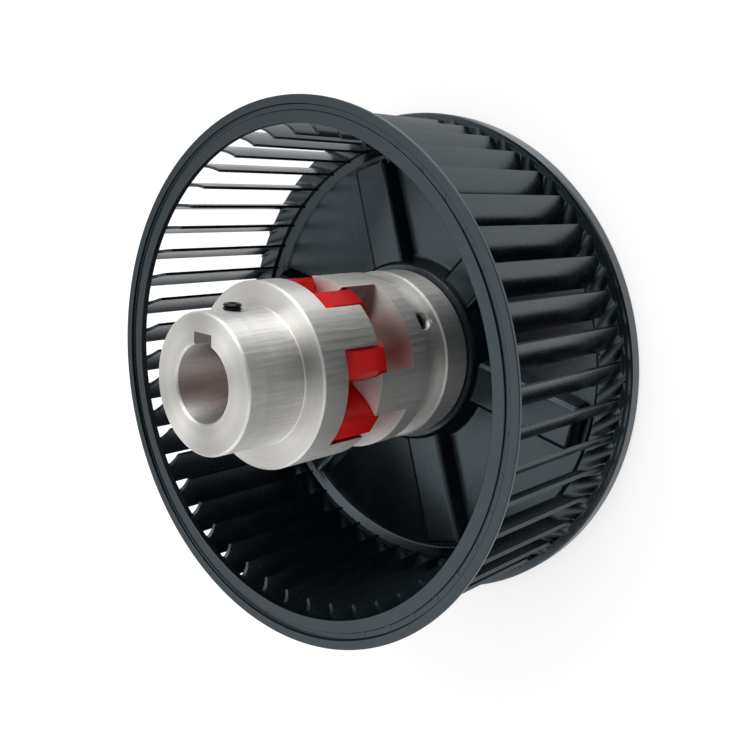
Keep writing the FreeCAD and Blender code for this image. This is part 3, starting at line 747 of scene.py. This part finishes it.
def star_arm(c, low, high):
    """One swelling arm of the star, with its outer corners cut off."""
    root, share = 0.0150, 0.96
    half = math.pi / 8 * share
    arm = swept_sheet(
        "arm", around(root, -half), around(c.star_radius, -half), low, high, steps=32, sweep=2 * half)
    for side in (-1, 1):
        out = around(c.arm_belly, 0.0)
        aside = around(c.arm_half_width - c.arm_flank, math.pi / 2) * side
        tool = rod("flank", c.arm_flank, low - OVERRUN, high + OVERRUN, (out + aside)[:2], FLANK_SIDES)
        combine(arm, tool, "INTERSECT")
    only(arm)
    bpy.ops.object.mode_set(mode="EDIT")
    front_cut, front_fall, back_cut, end_half_width = 0.0055, 0.0018, 0.0012, 0.0031
    for place, normal in (
            ((0, c.star_radius - front_fall, high), (0, front_cut, front_fall)),
            ((0, c.star_radius - back_cut, low), (0, 1, -1)),
            ((end_half_width, c.star_radius, 0), (1, 1, 0)),
            ((-end_half_width, c.star_radius, 0), (-1, 1, 0))):
        bpy.ops.mesh.select_all(action="SELECT")
        bpy.ops.mesh.bisect(
            plane_co=place, plane_no=Vector(normal).normalized(), use_fill=True, clear_outer=True)
    bpy.ops.object.mode_set(mode="OBJECT")
    return soften(arm, width=0.0004, segments=3, limit=20.0)


def set_screw(c, name, outer):
    """Upright set screw with its thread and hexagon socket, its outer end at a height."""
    radius = c.screw_radius - 0.00005
    thread, pitch, chamfer = 0.0005, 0.001, 0.0006
    root = radius - thread
    low = outer - c.screw_length
    core_radius, hole_radius, socket_half_width, socket_depth = 0.0007, 0.0006, 0.0015, 0.0035
    outline = [(hole_radius, low), (root - thread, low), (root, low + chamfer)]
    flank, crest, plain_start, plain_end = 0.00035, 0.0002, 0.0009, 0.0016
    z = low + plain_start
    while z < outer - plain_end:
        outline += [(radius, z + flank), (radius, z + flank + crest), (root, z + 2 * flank + crest)]
        z += pitch
    outline += [
        (radius, outer - chamfer), (radius, outer - thread), (radius - thread, outer), (hole_radius, outer)]
    screw = turn(name, outline, HOLE_SIDES)
    inset = 0.0002
    core = rod("core", core_radius, low + inset, outer - inset)
    combine(screw, core, "UNION")
    socket_radius = socket_half_width / math.cos(math.pi / 6)
    socket = rod("socket", socket_radius, outer - socket_depth, outer + OVERRUN, sides=6)
    return combine(screw, socket, "DIFFERENCE")


def back_plate(s):
    """Back plate with its boss, its rim and the stepped ring round it."""
    floor = s.plate_thickness
    ring_top = s.rear_ring_height
    step_top = ring_top + s.step_height
    foot_bevel, ring_bevel = 0.0006, 0.0005
    rim_fall, rim_lean, slope_start, slope_curve = 0.001, 0.0002, 0.0004, 0.0008
    boss_flare, boss_curve, boss_draft = 0.0030, 0.0020, 0.0003
    boss_shoulder, boss_bevel = 0.0008, 0.0006
    return turn("wheel_back", [
        (s.boss_bore, 0.0), (s.rear_ring_radius - foot_bevel, 0.0), (s.rear_ring_radius, foot_bevel),
        (s.rear_ring_radius, ring_top - ring_bevel), (s.rear_ring_radius - ring_bevel, ring_top),
        (s.step_radius, ring_top), (s.step_radius, step_top), (s.blade_outer, step_top),
        (s.blade_outer, s.rim_height), (s.rim_inner, s.rim_height - rim_fall),
        (s.rim_inner - rim_lean, s.slope_top), (s.slope_foot, floor + slope_start),
        (s.slope_foot - slope_curve, floor),
        (s.boss_radius + boss_flare, floor), (s.boss_radius + boss_curve, floor + foot_bevel),
        (s.boss_radius + boss_draft, s.boss_height - boss_shoulder),
        (s.boss_radius - boss_bevel, s.boss_height), (s.boss_bore, s.boss_height)], WHEEL_STEPS)


def gap_channel(s):
    """Tapered bar that rounds the end of one gap between two blades."""
    middle = s.blade_angle + math.pi / s.blade_count
    outer = around(s.blade_outer, middle) + Vector((0, 0, s.gap_outer_height + s.gap_outer))
    inner = around(s.blade_inner, middle + s.blade_lean) + Vector((0, 0, s.gap_inner_height + s.gap_inner))
    along = outer - inner
    past = 0.35
    more = past * (s.gap_inner - s.gap_outer)
    bar = rod(
        "gap", s.gap_inner + more, 0.0, along.length * (1 + 2 * past), sides=48,
        end_radius=s.gap_outer - more)
    turned = along.to_track_quat("Z", "Y").to_matrix().to_4x4()
    bar.matrix_world = Matrix.Translation(inner - along * past) @ turned
    bpy.ops.object.transform_apply(location=True, rotation=True, scale=True)
    return bar


def hollow_rib(s):
    """One rib, hollow from behind, and the opening that its hollow makes in the plate."""
    draft = math.tan(s.rib_draft)
    low, end_spread, play = 0.0005, 0.00125, 0.0001
    rib = tapered_block(
        "rib", (-s.rib_width / 2, s.rib_start, low), (s.rib_width / 2, s.rib_end, s.rib_height),
        ((s.rib_height - low) * draft, end_spread))
    soften(rib, s.rib_round, segments=4)
    core_low = Vector((-s.hollow_width / 2, s.hollow_start, -OVERRUN))
    core_high = Vector((s.hollow_width / 2, s.hollow_end, s.rib_height - s.rib_wall))
    spread = (core_high.z - core_low.z) * draft
    combine(rib, tapered_block("core", core_low, core_high, (spread, spread)), "DIFFERENCE")
    more = Vector((play, play, 0.0))
    opening = tapered_block("opening", core_low - more, core_high + more, (spread, spread))
    return set_turn(rib, s.rib_angle), set_turn(opening, s.rib_angle)


def camera_at_photo(settings):
    """Camera at the photograph's place and angle."""
    data = bpy.data.cameras.new("camera")
    data.lens = settings.lens
    data.sensor_width = 36.0
    data.shift_x, data.shift_y = 0.0995, -0.1347
    data.clip_start, data.clip_end = 0.01, 20.0
    camera = bpy.data.objects.new("camera", data)
    place = (0.2149, 0.0411, 0.2706)
    right = Vector((0.70078, -0.03573, -0.71248))
    up = Vector((0.0, 0.99875, -0.05008))
    back = Vector((0.71337, 0.03509, 0.69991))
    turned = Matrix((right, up, back)).transposed().to_4x4()
    camera.matrix_world = Matrix.Translation(place) @ turned
    return camera


# Operators


class BLOWER_OT_wheel_back(Operator):
    """Model the wheel's back plate, ribs, boss and rim"""
    bl_idname = "blower.wheel_back"
    bl_label = "Wheel Back"

    def execute(self, context):
        s = context.scene.blower_wheel
        plate = back_plate(s)
        combine(plate, merge("gaps", copies(gap_channel(s), s.blade_count)), "DIFFERENCE")
        rib, opening = hollow_rib(s)
        combine(plate, merge("openings", copies(opening, s.rib_count)), "DIFFERENCE")
        body = merge("wheel_back", [plate] + copies(rib, s.rib_count))
        split_rings(soften(body, width=0.00018, limit=40.0))
        finish_piece(body, "wheel_back", finish_of(moulded_nylon), "wheel", ["fan_wheel"])
        return {"FINISHED"}


class BLOWER_OT_wheel_blades(Operator):
    """Model one curved blade and repeat it round the wheel"""
    bl_idname = "blower.wheel_blades"
    bl_label = "Wheel Blades"

    def execute(self, context):
        s = context.scene.blower_wheel
        centre, tip, heel = blade_centre(s)
        out = (heel - centre).normalized()
        blade = swept_sheet(
            "blade", centre + out * (s.blade_curve - s.blade_thickness), centre + out * s.blade_curve,
            s.blade_foot, s.width - s.blade_top, steps=10, sweep=-(heel - centre).angle(tip - centre),
            centre=centre)
        arc = [math.pi / 2 * i / 8 for i in range(9)]
        middle, above = s.width - s.corner_drop, s.width + OVERRUN
        corner = turn("corner", [
            (s.corner_place + s.corner_radius * math.sin(a), middle - s.corner_radius * math.cos(a))
            for a in arc] + [
            (s.corner_place + s.corner_radius, above), (s.corner_place, above)], WHEEL_STEPS)
        combine(blade, corner, "DIFFERENCE")
        soften(blade, width=0.0003, limit=40.0)
        blades = merge("wheel_blades", copies(blade, s.blade_count))
        finish_piece(blades, "wheel_blades", finish_of(moulded_nylon), "wheel", ["fan_wheel"])
        return {"FINISHED"}


class BLOWER_OT_wheel_ring(Operator):
    """Model the front ring with its groove and thin edge"""
    bl_idname = "blower.wheel_ring"
    bl_label = "Wheel Front Ring"

    def execute(self, context):
        s = context.scene.blower_wheel
        top = s.width
        low = top - s.ring_thickness
        ring = turn("wheel_front_ring", [
            (s.ring_inner, low), (s.ring_foot, low), (s.ring_foot, top - s.edge_thickness),
            (s.radius, top - s.edge_thickness), (s.radius, top), (s.groove_outer, top),
            (s.groove_outer, top - s.groove_depth), (s.groove_inner, top - s.groove_depth),
            (s.groove_inner, top - s.ring_drop), (s.ring_inner, top - s.ring_drop)], WHEEL_STEPS)
        split_rings(soften(ring, width=0.00028, segments=3))
        finish_piece(
            ring, "wheel_front_ring", finish_of(moulded_nylon), "wheel", ["fan_wheel"])
        return {"FINISHED"}


class BLOWER_OT_rear_half(Operator):
    """Model the coupling half that is fixed in the wheel"""
    bl_idname = "blower.rear_half"
    bl_label = "Rear Coupling Half"

    def execute(self, context):
        c = context.scene.blower_coupling
        gullet = REAR_HUB_TOP - c.jaw_length
        e = c.chamfer
        neck_top = gullet - c.rear_flange
        collar_top = neck_top - c.neck_length
        outline = [
            (c.bore + e, 0.0), (c.tail_radius, 0.0), (c.tail_radius, c.tail_length),
            (c.radius - e, c.tail_length), (c.radius, c.tail_length + e),
            (c.radius, collar_top - e), (c.radius - e, collar_top), (c.neck_radius, collar_top),
            (c.neck_radius, neck_top), (c.radius - e, neck_top), (c.radius, neck_top + e), (c.radius, gullet),
            (c.bore + e, gullet), (c.bore, gullet - e), (c.bore, e)]
        hub = coupling_half(
            "rear_hub", c, outline, gullet, upwards=True, jaw_place=c.jaw_angle + math.pi / 4,
            key_place=c.rear_key_angle, screw_height=c.rear_screw_height, surface=c.neck_radius,
            key_span=(-OVERRUN, gullet + OVERRUN))
        finish_piece(
            hub, "rear_hub", finish_of(lathe_aluminium), "wheel", ["rear_coupling_half"])
        return {"FINISHED"}


class BLOWER_OT_front_half(Operator):
    """Model the loose coupling half with its keyed bore"""
    bl_idname = "blower.front_half"
    bl_label = "Front Coupling Half"

    def execute(self, context):
        c = context.scene.blower_coupling
        gullet = FRONT_HUB_BOX[0].z + c.jaw_length
        top = FRONT_HUB_BOX[1].z
        flange = gullet + c.front_flange
        e = c.chamfer
        outline = [
            (c.bore + e, gullet), (c.radius, gullet), (c.radius, flange - e), (c.radius - e, flange),
            (c.hub_radius + e / 2, flange), (c.hub_radius, flange + e / 2), (c.hub_radius, top - e),
            (c.hub_radius - e, top), (c.bore + e, top), (c.bore, top - e), (c.bore, gullet + e)]
        hub = coupling_half(
            "front_hub", c, outline, gullet, upwards=False, jaw_place=c.jaw_angle,
            key_place=c.front_key_angle, screw_height=gullet + c.front_screw_height,
            surface=c.hub_radius, key_span=(gullet - OVERRUN, top + OVERRUN))
        finish_piece(
            hub, "front_hub", finish_of(lathe_aluminium), "front_hub",
            ["front_coupling_half"])
        return {"FINISHED"}


class BLOWER_OT_star(Operator):
    """Model the elastic star between the jaws"""
    bl_idname = "blower.star"
    bl_label = "Coupling Star"

    def execute(self, context):
        c = context.scene.blower_coupling
        low, high = STAR_BOX[0].z, STAR_BOX[1].z
        arm = star_arm(c, low, high)
        set_turn(arm, c.jaw_angle - math.pi / 8)
        ring = turn("ring", [(c.star_hole, low), (c.star_hub, low), (c.star_hub, high), (c.star_hole, high)])
        split_rings(soften(ring, width=0.0004, segments=3))
        star = merge("star", [ring] + copies(arm, 8))
        finish_piece(star, "star", finish_of(cast_elastomer), "star", ["coupling_star"])
        return {"FINISHED"}


class BLOWER_OT_set_screws(Operator):
    """Model both set screws with their threads and hexagon sockets"""
    bl_idname = "blower.set_screws"
    bl_label = "Set Screws"

    def execute(self, context):
        c = context.scene.blower_coupling
        gullet = FRONT_HUB_BOX[0].z + c.jaw_length
        for name, node, body, outer, height, place in (
                ("rear_screw", "rear_set_screw", "wheel", c.neck_radius - c.rear_screw_sunk,
                 c.rear_screw_height, c.rear_key_angle),
                ("front_screw", "front_set_screw", "front_hub", c.hub_radius + c.front_screw_proud,
                 gullet + c.front_screw_height, c.front_key_angle)):
            screw = lay_across(set_screw(c, name, outer), height, place)
            finish_piece(screw, name, finish_of(oxide_steel), body, [node], smooth=30.0)
        return {"FINISHED"}


class BLOWER_OT_studio(Operator):
    """Set up the floor, soft lights, room light and camera"""
    bl_idname = "blower.studio"
    bl_label = "Studio"

    def execute(self, context):
        scene = context.scene
        settings = scene.blower_studio
        start_afresh()
        bpy.ops.mesh.primitive_grid_add(
            x_subdivisions=4, y_subdivisions=4, size=12.0, location=(0, 0, -0.0001))
        floor = context.object
        floor.name = "floor"
        floor.data.materials.append(pale_floor(scene.blower_finishes, settings))
        scene.world = soft_room(settings)
        lamp = bpy.data.lights.new("key_light", "AREA")
        lamp.energy = settings.key_power
        lamp.size = 0.5
        place, target = Vector((0.10, 0.90, 0.06)), Vector((0, 0, 0.04))
        lit = bpy.data.objects.new("key_light", lamp)
        lit.location = place
        lit.rotation_mode = "QUATERNION"
        lit.rotation_quaternion = (target - place).to_track_quat("-Z", "Y")
        scene.collection.objects.link(lit)
        camera = camera_at_photo(settings)
        scene.collection.objects.link(camera)
        scene.camera = camera
        scene.view_settings.view_transform = "Standard"
        return {"FINISHED"}


class VIEW3D_PT_blower(Panel):
    bl_label = "Blower Wheel"
    bl_space_type = "VIEW_3D"
    bl_region_type = "UI"
    bl_category = "Blower Wheel"

    def draw(self, context):
        for group, kind in SETTINGS:
            settings = getattr(context.scene, group)
            column = self.layout.column()
            for name in kind.__annotations__:
                column.prop(settings, name)
        for operator in OPERATORS:
            self.layout.operator(operator.bl_idname)


SETTINGS = (
    ("blower_wheel", WheelSizes),
    ("blower_coupling", CouplingSizes),
    ("blower_finishes", Finishes),
    ("blower_studio", StudioSettings),
)
OPERATORS = (
    BLOWER_OT_wheel_back,
    BLOWER_OT_wheel_blades,
    BLOWER_OT_wheel_ring,
    BLOWER_OT_rear_half,
    BLOWER_OT_front_half,
    BLOWER_OT_star,
    BLOWER_OT_set_screws,
    BLOWER_OT_studio,
)


def register():
    for name, group in SETTINGS:
        bpy.utils.register_class(group)
        setattr(bpy.types.Scene, name, PointerProperty(type=group))
    for operator in OPERATORS:
        bpy.utils.register_class(operator)
    bpy.utils.register_class(VIEW3D_PT_blower)


def unregister():
    bpy.utils.unregister_class(VIEW3D_PT_blower)
    for operator in reversed(OPERATORS):
        bpy.utils.unregister_class(operator)
    for name, group in reversed(SETTINGS):
        delattr(bpy.types.Scene, name)
        bpy.utils.unregister_class(group)


def main():
    register()
    bpy.ops.blower.wheel_back()
    bpy.ops.blower.wheel_blades()
    bpy.ops.blower.wheel_ring()
    bpy.ops.blower.rear_half()
    bpy.ops.blower.front_half()
    bpy.ops.blower.star()
    bpy.ops.blower.set_screws()
    bpy.ops.blower.studio()


if __name__ == "__main__":
    main()
